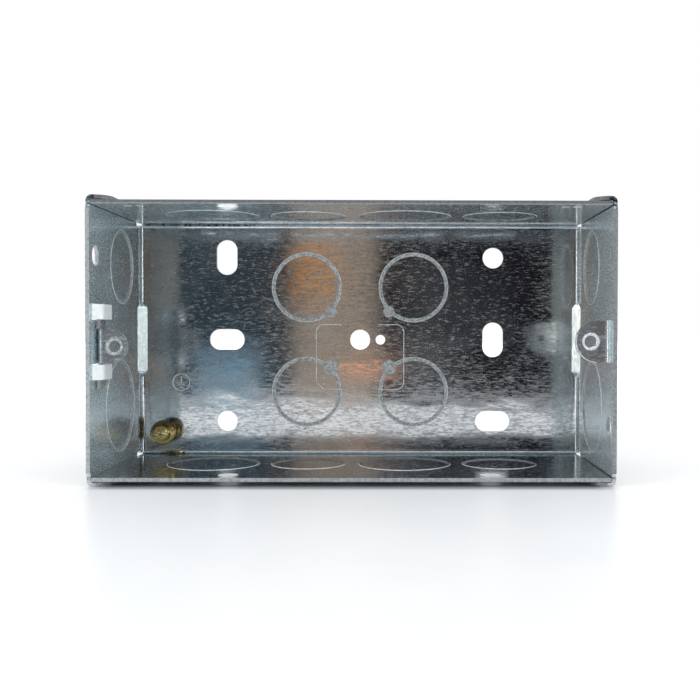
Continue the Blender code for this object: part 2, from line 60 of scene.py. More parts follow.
# %% Read the places of the frame's pieces
SHEET = 1.0 * MM
shell_low, shell_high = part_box("box_shell")
lug_low, lug_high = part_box("adjustable_lug")
post_low, post_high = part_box("earth_terminal_post")
screw_low, screw_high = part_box("earth_terminal_screw")
front_y = shell_low.y
centre_z = (shell_low.z + shell_high.z) / 2
STEP_OUT = 0.3 * MM
back_face_y = shell_high.y - STEP_OUT - SHEET
HALF_WIDTH = shell_high.x - STEP_OUT
HALF_HEIGHT = 35.0 * MM
STEP_ANGLE = math.radians(5)
BURR = 0.11 * MM
STRAP_SPACE = 11.4 * MM
STRAP_WIDTH = 3.8 * MM
LUG_CENTRES = 120.6 * MM
LUG_SETBACK = 4.2 * MM
post_axis = (post_low + post_high) / 2
print("back plate's inner face at y =", round(back_face_y / MM, 2), "mm")

# %% [markdown]
# ## The camera
# The photograph looks straight into the open front from about 227 mm away, a little right of the
# middle. The lens is set off-centre with the camera's shift, because the box sits left in the frame.

# %% Set up the camera
PHOTO_PIXELS = 700
FOCAL_PIXELS = 912.7
AXIS_PIXEL_X = 407.5
AXIS_PIXEL_Y = 347.1
CAMERA_RIGHT = 11.81 * MM
CAMERA_AWAY = 226.6 * MM
CAMERA_ABOVE = 2.62 * MM
CAMERA_PITCH = math.radians(-1.014)
CAMERA_ROLL = math.radians(-0.101)
CAMERA_YAW = math.radians(-0.494)
SENSOR_WIDTH = 36.0

lens = bpy.data.cameras.new("photo_camera")
lens.sensor_width = SENSOR_WIDTH
lens.lens = FOCAL_PIXELS / PHOTO_PIXELS * SENSOR_WIDTH
lens.shift_x = (PHOTO_PIXELS / 2 - AXIS_PIXEL_X) / PHOTO_PIXELS
lens.shift_y = (AXIS_PIXEL_Y - PHOTO_PIXELS / 2) / PHOTO_PIXELS
lens.clip_start = 5 * MM
camera = bpy.data.objects.new("photo_camera", lens)
bpy.context.scene.collection.objects.link(camera)
level = Matrix.Rotation(math.pi / 2, 4, "X")
turned = Matrix.Rotation(CAMERA_YAW, 4, "Z") @ Matrix.Rotation(CAMERA_PITCH, 4, "X")
turned = turned @ Matrix.Rotation(CAMERA_ROLL, 4, "Y") @ level
place = Matrix.Translation((CAMERA_RIGHT, front_y - CAMERA_AWAY, centre_z + CAMERA_ABOVE))
camera.matrix_world = place @ turned
bpy.context.scene.camera = camera
bpy.context.scene.view_settings.view_transform = "Standard"
print("lens", round(lens.lens, 2), "mm, shift", round(lens.shift_x, 4), round(lens.shift_y, 4))

# %% [markdown]
# ## Writing shader maths as sums
# A node tree is easier to read as a formula. `Number` wraps one socket and turns `+ - *` and `>`
# into Math nodes, also in `1.0 - x`, where the plain number comes first. Every other node goes
# through one method of `Finish`, which sets the node's choices first and then fills its sockets.

# %% The formula helper
class Number:
    """A socket that carries a number, usable in sums."""

    def __init__(self, finish, socket):
        self.finish = finish
        self.socket = socket

    def math(self, operation, first, second):
        return self.finish.node("ShaderNodeMath", {"operation": operation}, {0: first, 1: second})

    def __add__(self, other):
        return self.math("ADD", self, other)

    def __sub__(self, other):
        return self.math("SUBTRACT", self, other)

    def __rsub__(self, other):
        return self.math("SUBTRACT", other, self)

    def __mul__(self, other):
        return self.math("MULTIPLY", self, other)

    def __gt__(self, other):
        return self.math("GREATER_THAN", self, other)

    def __abs__(self):
        return self.math("ABSOLUTE", self, 0.0)


class Finish:
    """One material, with its Principled shader and short ways to add nodes."""

    def __init__(self, name, **constants):
        self.material = bpy.data.materials.new(name)
        self.material.use_nodes = True
        self.tree = self.material.node_tree
        self.shader = self.tree.nodes["Principled BSDF"]
        for socket, value in constants.items():
            self.shader.inputs[socket.replace("_", " ")].default_value = value
        self.material.diffuse_color = self.shader.inputs["Base Color"].default_value

    def node(self, kind, settings, sockets, out=0):
        made = self.tree.nodes.new(kind)
        for setting, value in settings.items():
            setattr(made, setting, value)
        for socket, value in sockets.items():
            if isinstance(value, Number):
                self.tree.links.new(value.socket, made.inputs[socket])
            else:
                made.inputs[socket].default_value = value
        return Number(self, made.outputs[out])

    def feed(self, socket, value):
        self.tree.links.new(value.socket, self.shader.inputs[socket])

    def millimetres(self):
        """Object coordinates in millimetres."""
        place = self.node("ShaderNodeTexCoord", {}, {}, "Object")
        return self.node("ShaderNodeVectorMath", {"operation": "SCALE"}, {0: place, "Scale": 1 / MM})

    def stretched(self, vector, scales):
        return self.node("ShaderNodeVectorMath", {"operation": "MULTIPLY"}, {0: vector, 1: scales})

    def parts(self, vector):
        made = self.node("ShaderNodeSeparateXYZ", {}, {0: vector})
        return [Number(self, socket) for socket in made.socket.node.outputs]

    def noise(self, vector, scale, detail=2.0, roughness=0.5):
        sockets = {"Vector": vector, "Scale": scale, "Detail": detail, "Roughness": roughness}
        return self.node("ShaderNodeTexNoise", {}, sockets, "Fac")

    def smooth(self, value, start, end, low=0.0, high=1.0):
        """Goes softly from low to high while the value goes from start to end."""
        sockets = {"Value": value, "From Min": start, "From Max": end, "To Min": low, "To Max": high}
        return self.node("ShaderNodeMapRange", {"interpolation_type": "SMOOTHSTEP"}, sockets, "Result")

    def band(self, value, start, full, last, end):
        """Softly up to one between the first two limits, and down again between the last two."""
        return self.smooth(value, start, full) * self.smooth(value, end, last)

    def blend(self, factor, first, second):
        """Mixes two colours."""
        return self.node("ShaderNodeMix", {"data_type": "RGBA"}, {0: factor, 6: first, 7: second}, 2)

    def bump(self, height, distance, strength=1.0):
        sockets = {"Height": height, "Distance": distance, "Strength": strength}
        return self.node("ShaderNodeBump", {}, sockets, "Normal")


print("formula helper ready")

# %% [markdown]
# ## Rolled zinc
# Continuously galvanised strip is dipped in zinc, smoothed by rollers and left bright. It mirrors the
# room, but every reflection is broken up by fine grain: specks about half a millimetre wide, drawn
# out along the rolling direction, with soft cloudy patches between them. A uniform grey metal would
# look like chrome or plastic. So the specks also take away a little of the metal's mirror: where
# Metallic drops, a speck scatters the white room and shows pale, even in a dark reflection.
#
# The folded sheet has marks of its own, and a few masks put them on its inner skins alone. The walls
# are full of pale flecks, and their blue tint, stronger towards the front, is a painted reflection of
# the room. The zinc is darker by the left fold, as painted shade, and darker on the bottom wall; it is
# paler by the right fold, as a painted reflection. Part of the top rear fold gapes, and its dotted dark
# line is painted shade, as are the thin dark seams where the end walls meet the long ones. Four small
# painted glints sit inside the top wall, just behind the rim.
# Each skin is a band of four limits in millimetres, across the inner part of its sheet.

# %% Marks of the folding, with painted shade, reflections and glints
END_SKIN = (64.4, 64.8, 65.55, 65.75)
TOP_SKIN = (33.3, 33.8, 34.55, 34.75)
BOTTOM_SKIN = (-34.75, -34.55, -33.9, -33.6)
PLATE_SKIN = (21.4, 21.8, 22.5, 22.7)
DARK_ZINC = (0.37, 0.43, 0.46, 1.0)
PAINTED_SHEEN_ZINC = (0.93, 0.91, 0.86, 1.0)
# Where four small painted glints sit inside the top wall, just behind the rim.
GLINT_Y = front_y / MM + 4.3
GLINT_SPOTS = ((-56.6, 0.9), (-53.9, 0.5), (53.8, 0.9), (56.8, 1.1))


def fold_shade_and_sheen(steel, x, y, rise, colour):
    """The colour, with painted shade by the left fold, darker on the bottom wall, and a painted pale
    reflection by the right fold.
    """
    left = steel.band(x, -64.6, -64.2, -54.6, -52.8) * steel.band(y, *PLATE_SKIN)
    bottom = steel.band(rise, *BOTTOM_SKIN)
    colour = steel.blend(left * 0.8 + bottom * 0.8, colour, DARK_ZINC)
    right = steel.band(x, 51.0, 55.0, 65.55, 65.75) * steel.band(y, 0.0, 8.0, 22.6, 22.9)
    in_bend = steel.smooth(x, 60.5, 61.5) * steel.smooth(y, 18.0, 19.0)
    right = right * steel.band(rise, -4.0, 4.0, 28.0, 34.0) * (1.0 - in_bend)
    return steel.blend(right * 0.6, colour, PAINTED_SHEEN_ZINC)


def painted_glints(steel, x, y, top_wall):
    """A mask of four small painted glints inside the top wall, each with its middle and half width."""
    across = 0.0
    for middle, half in GLINT_SPOTS:
        across = steel.smooth(abs(x - middle), half + 0.3, half - 0.2) + across
    return across * steel.smooth(abs(y - GLINT_Y), 1.5, 0.9) * top_wall


def fold_gap_shade(steel, mm, x, y, rise, end_wall):
    """A mask of painted shade: the dotted gap at the top rear fold and dark seams along the end walls."""
    row = steel.band(rise, 33.4, 33.6, 34.6, 34.8) * steel.band(y, 20.9, 21.3, 21.7, 21.9)
    row = row * steel.smooth(abs(x + 47.0), 18.0, 15.0)
    dots = steel.noise(steel.stretched(mm, (1.0, 0.0, 0.0)), 0.9, 1.0, 0.5)
    seam = end_wall * steel.band(abs(rise), 33.82, 33.90, 34.15, 34.3) * steel.smooth(y, 21.2, 20.8)
    seam = seam * ((rise > 0.0) + (x > 0.0))
    return row * steel.smooth(dots, 0.50, 0.54) + seam * 0.6


print("scrapes at y =", round(GLINT_Y, 2), "mm, x =", [middle for middle, half in GLINT_SPOTS])

# %% [markdown]
# Now the finish itself. It takes a bright and a dull grey, and the grain decides between them. The
# same grain roughens the zinc where it is dull, and a faint wave keeps the mirror from being flat.

# %% The sheet's and the lugs' finish
PIT_GREY = (0.13, 0.135, 0.145, 1.0)
WALL_REFLECTION_BLUE = (0.58, 0.71, 0.76, 1.0)
GLINT_WHITE = (0.95, 0.97, 0.98, 1.0)
GAP_SHADE_BLACK = (0.02, 0.02, 0.025, 1.0)


def galvanised(name, tint, shade, gloss, matt, haze, wall_haze=0.0, folded=False):
    """Rolled zinc: a bright and a dull grey, a low and a high roughness, and shares of matt haze."""
    steel = Finish(name)
    mm = steel.millimetres()
    x, y, z = steel.parts(mm)
    rise = z - centre_z / MM
    rolled = steel.stretched(mm, (0.35, 1.0, 1.4))
    specks = steel.noise(rolled, 1.5, 2.0, 0.7)
    grain = steel.noise(steel.stretched(mm, (0.12, 1.0, 1.0)), 1.7, 3.0, 0.65)
    clouds = steel.noise(mm, 0.11, 3.0, 0.55)
    mist = steel.smooth(steel.noise(steel.stretched(mm, (0.7, 1.0, 1.0)), 0.05, 2.0, 0.6), 0.50, 0.66)
    pits = steel.smooth(steel.noise(rolled, 2.7, 1.0, 0.5), 0.61, 0.70)
    dull = steel.smooth(specks * 0.6 + grain * 0.4, 0.40, 0.62)
    colour = steel.blend(steel.smooth(dull * 0.8 + clouds * 0.5, 0.2, 1.05), tint, shade)
    colour = steel.blend(pits * 0.4, colour, PIT_GREY)
    end_wall = steel.band(abs(x), *END_SKIN) * steel.smooth(abs(rise), 35.0, 34.7)
    top_wall = steel.band(rise, *TOP_SKIN)
    wall = (end_wall + top_wall * steel.smooth(x, -15.0, -35.0, 0.5, 1.0)) * steel.smooth(y, 19.0, 17.5)
    # A blue tint on the inner walls, stronger towards the front, is a painted reflection of the room.
    colour = steel.blend(wall * steel.smooth(y, 16.0, -8.0, 0.5, 0.9), colour, WALL_REFLECTION_BLUE)
    flecks = steel.noise(steel.stretched(mm, (1.0, 0.45, 1.0)), 3.6, 3.0, 0.8)
    flecks = steel.smooth(flecks, 0.45, 0.59, 0.0, 2.3) * steel.smooth(y, 18.0, -12.0, 0.7, 1.3)
    flecks = flecks * steel.smooth(x, -20.0, 20.0, 1.0, 1.3)
    pale = steel.smooth(specks, 0.56, 0.67) * 0.26 + mist * 0.05 + wall * flecks * wall_haze
    if folded:
        # Painted glints inside the top wall, white and less metallic.
        glint = painted_glints(steel, x, y, top_wall)
        # Painted shade in the fold's dotted gap and in the seams at the inner corners.
        gap = fold_gap_shade(steel, mm, x, y, rise, end_wall)
        # Painted shade by the left fold, a darker bottom wall, and a painted pale reflection by the right
        # fold.
        colour = fold_shade_and_sheen(steel, x, y, rise, colour)
        colour = steel.blend(gap, steel.blend(glint, colour, GLINT_WHITE), GAP_SHADE_BLACK)
        pale = (pale + glint) * (1.0 - gap)
    steel.feed("Base Color", colour)
    steel.feed("Metallic", 1.0 - haze - pale)
    rough = dull * (matt - gloss) + clouds * 0.08 + (gloss - 0.04) + pits * 0.15
    steel.feed("Roughness", rough + end_wall * 0.07)
    waves = steel.noise(steel.stretched(mm, (0.5, 1.0, 1.0)), 0.10, 2.0, 0.5)
    steel.feed("Normal", steel.bump(waves * 0.5 + specks * 0.004, 0.25 * MM))
    return steel.material


sheet_finish = galvanised(
    "galvanised_sheet", (0.79, 0.82, 0.84, 1.0), (0.62, 0.65, 0.67, 1.0),
    gloss=0.07, matt=0.20, haze=0.0, wall_haze=0.27, folded=True,
)
lug_finish = galvanised(
    "zinc_plated_lug", (0.76, 0.78, 0.80, 1.0), (0.54, 0.56, 0.58, 1.0),
    gloss=0.14, matt=0.30, haze=0.13,
)
print("zinc finishes:", sheet_finish.name, lug_finish.name)

# %% [markdown]
# ## Where the zinc was cut or stretched
# A shear tears the zinc away, so the cut edges are rougher and scatter light: the box's rims and the
# sides of its holes show as pale lines, and painted shade darkens the top and right rims. The rings
# round the knock-outs are duller, and the rear halves of those in the long walls get a dark finish as
# painted shade. The two lanced straps were stretched, which crazed their zinc to a bright frosted skin.
# The punch burnished the flats in the end folds, and their pale finish is partly a painted highlight.
# The straps' pale finish is also painted light on the rear of the fixed lug's tongue and in the two
# small holes by the rims.

# %% Cut edges, rings, straps and flats
RIM_SHADE = (0.06, 0.06, 0.065, 1.0)


def frosted(name, bright, dull, haze, scale, top_shade=0.0, rough=(0.45, 0.70)):
    """Zinc with less of its mirror: two greys mixed by grain, with painted shade on the top and right
    rims.
    """
    steel = Finish(name, Metallic=1.0 - haze)
    mm = steel.millimetres()
    grain = steel.smooth(steel.noise(mm, scale, 2.0, 0.6), 0.38, 0.62)
    x, y, z = steel.parts(mm)
    # Painted shade darkens the top rim and the right rim.
    shade = steel.smooth(z - centre_z / MM, 33.9, 34.5) * steel.smooth(abs(x), 65.0, 64.5)
    shade = (shade + steel.smooth(x, 64.5, 65.0) * 0.6) * top_shade
    steel.feed("Base Color", steel.blend(shade, steel.blend(grain, bright, dull), RIM_SHADE))
    steel.feed("Roughness", steel.smooth(grain, 0.0, 1.0, *rough))
    steel.feed("Normal", steel.bump(grain, 0.03 * MM))
    return steel.material


cut_finish = frosted(
    "sheared_edge", (0.57, 0.60, 0.62, 1.0), (0.45, 0.47, 0.49, 1.0), 0.20, 1.2, top_shade=0.6,
)
ring_finish = frosted(
    "knock_out_edge", (0.60, 0.63, 0.64, 1.0), (0.36, 0.38, 0.39, 1.0), 0.40, 1.4,
)
bright_ring_finish = frosted(
    "wall_knock_out_edge", (0.90, 0.93, 0.94, 1.0), (0.62, 0.65, 0.66, 1.0), 0.60, 1.2,
)
# Painted shade: a dark finish for the rear halves of the long walls' rings.
shaded_ring_finish = frosted(
    "shaded_knock_out_edge", (0.42, 0.45, 0.46, 1.0), (0.26, 0.28, 0.29, 1.0), 0.15, 1.4,
)
# Real stretched zinc on the straps, and painted light where it is reused on the tongue's back and two
# hole walls.
strap_and_highlight_finish = frosted(
    "stretched_zinc_and_painted_highlight", (0.95, 0.97, 0.97, 1.0), (0.86, 0.89, 0.90, 1.0), 0.68, 0.8,
)
# The pressed flats: burnished zinc, with a pale finish that is partly a painted highlight.
flat_finish = frosted(
    "pressed_flat", (0.97, 0.98, 0.96, 1.0), (0.90, 0.92, 0.91, 1.0), 0.30, 0.8, rough=(0.16, 0.22),
)
made = (cut_finish, ring_finish, bright_ring_finish, shaded_ring_finish, strap_and_highlight_finish, flat_finish)
print("cut and stretched finishes:", [finish.name for finish in made])

# %% [markdown]
# ## Turned brass
# The terminal is turned on a lathe, so its faces carry fine rings round its axis, and handling has
# dulled it to an olive gold. The rings are a wave of the distance from the axis, used as bump.

# %% The terminal's finish
def turned_brass(name, bright, dull, axis):
    """Brass turned round an axis along y: a bright and a dull gold, mixed by stains and by painted shade,
    duller upwards and brighter to the right.
    """
    brass = Finish(name, Metallic=1.0)
    mm = brass.millimetres()
    centred = brass.node(
        "ShaderNodeVectorMath", {"operation": "SUBTRACT"},
        {0: mm, 1: tuple(value / MM for value in axis)},
    )
    flat = brass.stretched(centred, (1.0, 0.0, 1.0))
    radius = brass.node("ShaderNodeVectorMath", {"operation": "LENGTH"}, {0: flat}, "Value")
    rings = brass.node("ShaderNodeMath", {"operation": "SINE"}, {0: radius * 40.0})
    stain = brass.noise(mm, 0.9, 4.0, 0.6)
    across, _, up = brass.parts(centred)
    # Stains, plus painted shade: the brass is duller towards the top and brighter to the right.
    tarnish_and_shade = brass.smooth(stain + up * 0.10 - across * 0.04, 0.38, 0.62)
    brass.feed("Base Color", brass.blend(tarnish_and_shade, bright, dull))
    brass.feed("Roughness", brass.smooth(stain, 0.3, 0.7, 0.10, 0.26))
    brass.feed("Normal", brass.bump(rings * 0.5 + stain, 0.008 * MM))
    return brass.material


axis_point = (post_axis.x, 0.0, post_axis.z)
post_finish = turned_brass("dulled_brass", (0.80, 0.60, 0.22, 1.0), (0.15, 0.12, 0.055, 1.0), axis_point)
screw_finish = turned_brass("screw_brass", (1.0, 0.84, 0.42, 1.0), (0.55, 0.41, 0.16, 1.0), axis_point)
print("brass finishes:", post_finish.name, screw_finish.name)

# %% [markdown]
# ## Helpers for modelling by hand
# The new pieces are made as at the keyboard: add a primitive, change it in edit mode, apply. These
# few helpers select what the next operator should act on, and settle a finished piece so that its
# place is in its mesh.

# %% Selecting, applying and attaching
def only(piece):
    """Selects one object and makes it active."""
    bpy.ops.object.select_all(action="DESELECT")
    piece.select_set(True)
    bpy.context.view_layer.objects.active = piece


SOFT_ANGLE = math.radians(35)


def settle(piece, name, finish, body, smooth=True):
    """Names a piece, bakes its place into its mesh and hands it to the frame."""
    only(piece)
    bpy.ops.object.transform_apply(location=True, rotation=True, scale=True)
    piece.name = piece.data.name = name
    if smooth:
        bpy.ops.object.shade_smooth_by_angle(angle=SOFT_ANGLE)
    if not piece.data.materials or piece.data.materials[0] != finish:
        piece.data.materials.clear()
        piece.data.materials.append(finish)
    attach(piece, body)
    bpy.ops.object.select_all(action="DESELECT")
    print(name, len(piece.data.polygons), "faces on", body)
    return piece


def join(pieces):
    """Joins pieces into the first of them."""
    bpy.ops.object.select_all(action="DESELECT")
    for piece in pieces:
        piece.select_set(True)
    bpy.context.view_layer.objects.active = pieces[0]
    bpy.ops.object.join()
    return pieces[0]


def cut_away(place, normal):
    """Cuts the active mesh at a plane, takes away the side that the normal points to, and fills."""
    bpy.ops.object.mode_set(mode="EDIT")
    bpy.ops.mesh.select_all(action="SELECT")
    bpy.ops.mesh.bisect(plane_co=place, plane_no=normal, clear_outer=True, use_fill=True)
    bpy.ops.object.mode_set(mode="OBJECT")


def apply_modifiers(piece):
    """Applies a piece's modifiers in their order."""
    only(piece)
    for step in list(piece.modifiers):
        bpy.ops.object.modifier_apply(modifier=step.name)


print("modelling helpers ready")

# %% [markdown]
# ## The sheet-metal pieces with broken edges
# A punched edge is never perfectly sharp: a line of light runs along it. The solids have exact
# corners, so each piece gets a dressed copy. Its doubled points are merged, coplanar triangles are
# dissolved into whole faces, and a narrow Bevel breaks every edge sharper than a fold.

# %% Dress the frame's solids
def is_cut(place, normal):
    """Whether a face of the shell looks out of the sheet's thickness."""
    side = abs(place.x)
    rise = abs(place.z - centre_z)
    if place.y < back_face_y - 2.5 * MM:
        if HALF_HEIGHT - SHEET * 1.05 < rise and side < HALF_WIDTH - 2 * SHEET:
            return abs(normal.z) < 0.35
        if side > HALF_WIDTH - SHEET * 1.05 and rise < HALF_HEIGHT - 0.5 * SHEET:
            return abs(normal.x) < 0.35
        return side < HALF_WIDTH - 2.5 * SHEET and place.x > 0 and abs(normal.y) < 0.3
    return side < HALF_WIDTH - 3 * SHEET and rise < HALF_HEIGHT - 3 * SHEET and abs(normal.y) < 0.3


def is_sheared_ring(place, normal):
    """Whether a face slopes from a wall to a knock-out's disc, or is a staked spot on its edge."""
    side, rise, depth = abs(place.x), abs(place.z - centre_z), back_face_y - place.y
    if side < HALF_WIDTH - 3 * MM and rise < HALF_HEIGHT - 3 * MM and -1.4 * MM < depth < 0.3 * MM:
        spot = 0.1 * MM < depth and 6 * MM < side < 12 * MM and 6 * MM < rise < 12 * MM
        return spot or 0.9 < abs(normal.y) < 0.985
    return False


def is_wall_ring(place, normal):
    """The same slopes in the end walls, where the light grazes them."""
    side, rise, depth = abs(place.x), abs(place.z - centre_z), back_face_y - place.y
    if not 4 * MM < depth < 42 * MM:
        return False
    clear = rise > 10.5 * MM or place.y - front_y > 12.5 * MM
    in_wall = side > HALF_WIDTH - 1.5 * MM and rise < HALF_HEIGHT - 3 * MM
    return in_wall and clear and 0.9 < abs(normal.x) < 0.985


def is_outer_ring(place, normal):
    """The slopes on the outside of the long walls."""
    rise, depth = abs(place.z - centre_z), back_face_y - place.y
    outside = rise > HALF_HEIGHT - SHEET / 2 and abs(place.x) < HALF_WIDTH - 7 * MM
    return outside and 4 * MM < depth < 42 * MM and 0.9 < abs(normal.z) < 0.985


def is_shaded_ring(place, normal):
    """The rear slopes inside the long walls, which get a dark finish as painted shade."""
    side, rise, depth = abs(place.x), abs(place.z - centre_z), back_face_y - place.y
    inside = HALF_HEIGHT - 2 * SHEET < rise < HALF_HEIGHT - SHEET / 2 and side < HALF_WIDTH - 7 * MM
    return inside and 4 * MM < depth < back_face_y - front_y - 26 * MM and 0.9 < abs(normal.z) < 0.985


def is_rim_hole(place, normal):
    """The walls of the two small holes near the rims of the long walls, painted pale as a painted
    highlight.
    """
    rise, depth = abs(place.z - centre_z), place.y - front_y
    in_wall = rise > HALF_HEIGHT - SHEET * 1.05 and abs(place.x) < HALF_WIDTH - 10 * MM
    return in_wall and 1 * MM < depth < 9 * MM and abs(normal.z) < 0.35


def is_fixed_lug(place, normal):
    """Whether a face belongs to the tongue bent in from the right end wall."""
    rise = abs(place.z - centre_z)
    return 55 * MM < place.x < HALF_WIDTH - 1.3 * SHEET and rise < 6.6 * MM and place.y < front_y + 6 * MM


def is_lugs_back(place, normal):
    """Whether a face is the rear of that tongue, painted pale as painted light so that the back plate
    mirrors a pale patch.
    """
    return is_fixed_lug(place, normal) and normal.y > 0.5


def from_ears_hole(place):
    """How far a point is from the axis of the hole in the sliding lug's ear."""
    return Vector((place.x + LUG_CENTRES / 2, place.z - (lug_low.z + lug_high.z) / 2)).length


def is_ears_edge(place, normal):
    """Whether a face is the cut outline of the sliding lug's ear, not the wall of its hole."""
    return place.x > lug_low.x + 2.5 * MM and abs(normal.y) < 0.35 and from_ears_hole(place) > 2 * MM


def is_ears_hole(place, normal):
    """Whether a face is the wall or the countersunk mouth of that hole."""
    return from_ears_hole(place) < 2.3 * MM and abs(normal.y) < 0.98


def is_stretched(place, normal):
    """Whether a face lies on one of the two straps over the sliding lug."""
    rise = abs(place.z - centre_z + 0.3 * MM) - STRAP_SPACE / 2
    in_strap = -0.1 * MM < rise < STRAP_WIDTH and 1.7 * MM < place.y - front_y < 10.9 * MM
    return in_strap and SHEET / 2 - HALF_WIDTH + 0.6 * MM < place.x < -61.0 * MM


def is_pressed_flat(place, normal):
    """Whether a face is the flat pressed into the inside of an end fold."""
    near_middle = abs(place.z - centre_z) < 9.5 * MM and place.y > back_face_y - 5 * MM
    return near_middle and 0.85 < abs(normal.x) < 0.98 and normal.y < -0.2


def mark_steps(piece):
    """Marks the slight edges of the pressed steps as sharp, so that their slopes keep their shading."""
    sides = {}
    for face in piece.data.polygons:
        for key in face.edge_keys:
            sides.setdefault(key, []).append(face.normal)
    marked = 0
    for edge in piece.data.edges:
        normals = sides.get(edge.key, [])
        if len(normals) != 2 or normals[0].angle(normals[1]) < STEP_ANGLE:
            continue
        middle = (piece.data.vertices[edge.key[0]].co + piece.data.vertices[edge.key[1]].co) / 2
        side, rise, depth = abs(middle.x), abs(middle.z - centre_z), back_face_y - middle.y
        in_back = side < HALF_WIDTH - 3 * MM and rise < HALF_HEIGHT - 3 * MM
        in_long_wall = depth > 2 * MM and side < HALF_WIDTH - 7 * MM
        in_end_wall = depth > 2 * MM and rise < HALF_HEIGHT - 3 * MM and (
            rise > 10.5 * MM or middle.y - front_y > 12.5 * MM
        )
        for axis, within in ((1, in_back), (2, in_long_wall), (0, in_end_wall)):
            if within and min(abs(normals[0][axis]), abs(normals[1][axis])) > 0.9:
                edge.use_edge_sharp = True
                marked += 1
    print(piece.name, marked, "step edges kept sharp")


LARGE_FACE = 300 * MM * MM


def dress(node, name, finish, body, edge, others=()):
    """Others are pairs of a test of a face's middle and normal, and the finish of such faces.

    Weighted normals keep the flat faces flat, and the corners of the largest ones are set exactly.
    """
    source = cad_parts[node]
    piece = bpy.data.objects.new(name, source.data.copy())
    bpy.context.scene.collection.objects.link(piece)
    only(piece)
    bpy.ops.object.mode_set(mode="EDIT")
    bpy.ops.mesh.select_all(action="SELECT")
    bpy.ops.mesh.remove_doubles(threshold=0.0005 * MM)
    bpy.ops.mesh.dissolve_limited(angle_limit=math.radians(0.6))
    bpy.ops.object.mode_set(mode="OBJECT")
    bpy.ops.object.shade_smooth()
    mark_steps(piece)
    broken = piece.modifiers.new("broken_edges", "BEVEL")
    broken.width = edge
    broken.segments = 2
    broken.limit_method = "ANGLE"
    broken.angle_limit = math.radians(40)
    broken.use_clamp_overlap = True
    flats = piece.modifiers.new("flat_faces_stay_flat", "WEIGHTED_NORMAL")
    flats.mode = "FACE_AREA"
    flats.weight = 100
    flats.keep_sharp = True
    apply_modifiers(piece)
    corners = [corner.vector.copy() for corner in piece.data.corner_normals]
    for face in piece.data.polygons:
        if face.area > LARGE_FACE:
            for corner in face.loop_indices:
                corners[corner] = face.normal
    piece.data.normals_split_custom_set(corners)
    piece.data.materials.clear()
    piece.data.materials.append(finish)
    for index, (belongs, other) in enumerate(others, start=1):
        piece.data.materials.append(other)
        for face in piece.data.polygons:
            if belongs(face.center, face.normal):
                face.material_index = index
    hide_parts(node)
    return settle(piece, name, finish, body, smooth=False)


shell = dress(
    "box_shell", "folded_shell", sheet_finish, "box", 0.08 * MM,
    [
        (is_fixed_lug, lug_finish), (is_cut, cut_finish), (is_stretched, strap_and_highlight_finish),
        (is_sheared_ring, ring_finish), (is_wall_ring, ring_finish), (is_outer_ring, ring_finish),
        (is_lugs_back, strap_and_highlight_finish), (is_pressed_flat, flat_finish),
        (is_shaded_ring, shaded_ring_finish), (is_rim_hole, strap_and_highlight_finish),
    ],
)
dress(
    "adjustable_lug", "sliding_lug_plate", lug_finish, "sliding_lug", 0.07 * MM,
    [(is_ears_edge, cut_finish), (is_ears_hole, ring_finish)],
)
dress("earth_terminal_post", "terminal_post", post_finish, "box", 0.06 * MM)
dress("earth_terminal_screw", "terminal_screw", screw_finish, "box", 0.14 * MM)

# %% [markdown]
# ## Threads
# Each lug is tapped for an M3.5 screw and the terminal screw is M4. A thread is one small triangle
# swept round an axis while it climbs, which is what the Screw modifier does. The fixed lug's hole
# was pressed through, which raised a low round collar about it.

# %% Cut the threads
def add_thread(name, radius, depth, pitch, turns, start, finish, body, inward):
    """A thread's ridge round a line along y, from a start point into the box."""
    bpy.ops.mesh.primitive_circle_add(vertices=3, radius=depth, location=(0, 0, 0))
    ridge = bpy.context.object
    bpy.ops.object.mode_set(mode="EDIT")
    bpy.ops.mesh.select_all(action="SELECT")
    bpy.ops.transform.resize(value=(1.0, 0.9, 1.0))
    bpy.ops.object.mode_set(mode="OBJECT")
    ridge.rotation_euler = (math.pi / 2, 0, math.pi / 2 if inward else -math.pi / 2)
    bpy.ops.object.transform_apply(location=False, rotation=True, scale=False)
    bpy.ops.object.mode_set(mode="EDIT")
    bpy.ops.mesh.select_all(action="SELECT")
    bpy.ops.transform.rotate(value=math.pi / 2, orient_axis="Z", center_override=(0, 0, 0))
    bpy.ops.transform.translate(value=(radius, 0, 0))
    bpy.ops.object.mode_set(mode="OBJECT")
    sweep = ridge.modifiers.new("climb", "SCREW")
    sweep.axis = "Z"
    sweep.screw_offset = pitch
    sweep.iterations = turns
    sweep.steps = sweep.render_steps = 28
    apply_modifiers(ridge)
    bpy.ops.object.mode_set(mode="EDIT")
    bpy.ops.mesh.select_all(action="SELECT")
    bpy.ops.mesh.fill_holes(sides=3)
    bpy.ops.mesh.select_all(action="SELECT")
    bpy.ops.mesh.normals_make_consistent(inside=False)
    bpy.ops.object.mode_set(mode="OBJECT")
    ridge.rotation_euler = (-math.pi / 2, 0, 0)
    ridge.location = start
    return settle(ridge, name, finish, body)


BORE_RADIUS = 1.5 * MM
fixed_lug_place = Vector((LUG_CENTRES / 2, front_y + LUG_SETBACK, centre_z))
sliding_lug_place = Vector((-LUG_CENTRES / 2, lug_low.y, (lug_low.z + lug_high.z) / 2))
for lug_name, lug_place, body, slot in (
    ("fixed_lug_thread", fixed_lug_place, "box", "galvanised_sheet"),
    ("sliding_lug_thread", sliding_lug_place, "sliding_lug", "lug_steel"),
):
    start = lug_place + Vector((0, 0.55 * MM, 0))
    add_thread(lug_name, BORE_RADIUS, 0.16 * MM, 0.6 * MM, 2, start, lug_finish, body, True)

